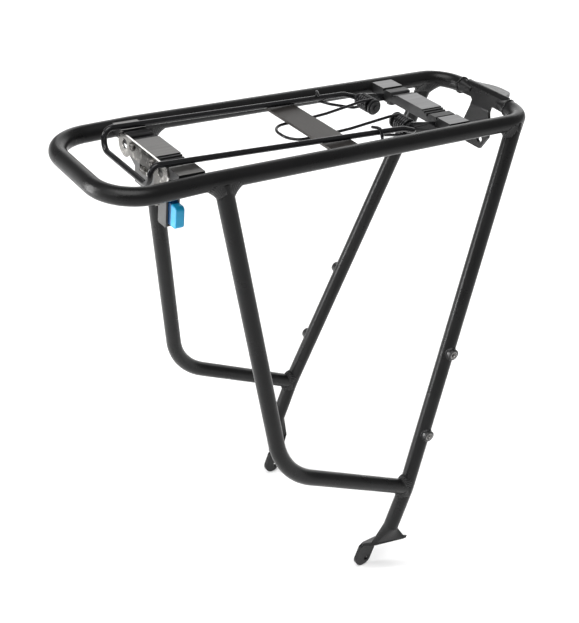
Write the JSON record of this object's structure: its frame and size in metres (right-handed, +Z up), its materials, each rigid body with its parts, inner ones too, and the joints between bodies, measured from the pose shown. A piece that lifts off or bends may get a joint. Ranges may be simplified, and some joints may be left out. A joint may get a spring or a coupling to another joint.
{
  "type": "bicycle rear rack",
  "caption": "Tubular bicycle luggage rack with slanted legs, pannier rails, deck cross members, a sprung wire clamp, a lamp plate and a bag-release button.",
  "frame": {"origin": "midway between the two dropout eyelets, on the axis through both holes", "axes": "+X forward, the way the bicycle rides; +Y to the bicycle's left, along the eyelets' axis; +Z up, the deck level"},
  "size_m": [0.3983, 0.2004, 0.4199],
  "materials": {
    "satin_black": "satin powder coat on aluminium tube",
    "boss": "powder coat, worn bright in the thread",
    "extrusion": "dark anodised extrusion with brighter flat lands",
    "plate": "dark anodised, brushed",
    "black_wire": "gloss black coated steel",
    "black_plastic": "moulded nylon",
    "grey_plastic": "moulded nylon, fine texture",
    "blue_plastic": "moulded, soft gloss",
    "bright_steel": "bright zinc",
    "rivet": "dull steel"
  },
  "bodies": {
    "frame": {"deck_loop": "satin_black", "leg_left": "satin_black", "leg_right": "satin_black", "side_tube_left": "satin_black", "side_tube_right": "satin_black", "foot_left": "satin_black", "foot_right": "satin_black", "front_bridge": "satin_black", "high_boss_left": "boss", "high_boss_right": "boss", "low_boss_left": "boss", "low_boss_right": "boss", "front_cross_profile": "extrusion", "rear_cross_profile": "extrusion", "middle_cross_plate": "plate", "hinge_lug_left": "black_wire", "hinge_lug_right": "black_wire", "lug_rivets_left": "rivet", "lug_rivets_right": "rivet", "clamp_spring": "black_wire", "lamp_plate": "bright_steel", "plate_screws": "bright_steel", "latch_case": "grey_plastic", "return_spring": "bright_steel"},
    "clamp": {"clamp_bail": "black_wire", "spring_bush_left": "black_plastic", "spring_bush_right": "black_plastic", "wire_end_cap_left": "black_plastic", "wire_end_cap_right": "black_plastic"},
    "release": {"release_button": "blue_plastic", "latch_bar": "bright_steel"}
  },
  "joints": [
    {"name": "clamp_hinge", "type": "hinge", "parent": "frame", "child": "clamp", "pos_m": [0.015, 0, 0.4018], "axis": [0, 1, 0], "range_deg": [0, 75], "stiffness_Nm_per_rad": 0.8, "springref_deg": -57.3, "deforming": ["clamp_spring"]},
    {"name": "release_slide", "type": "slide", "parent": "frame", "child": "release", "axis": [0, 1, 0], "range_m": [0, 0.005], "stiffness_N_per_m": 300, "springref_m": -0.004, "deforming": ["return_spring"]}
  ]
}
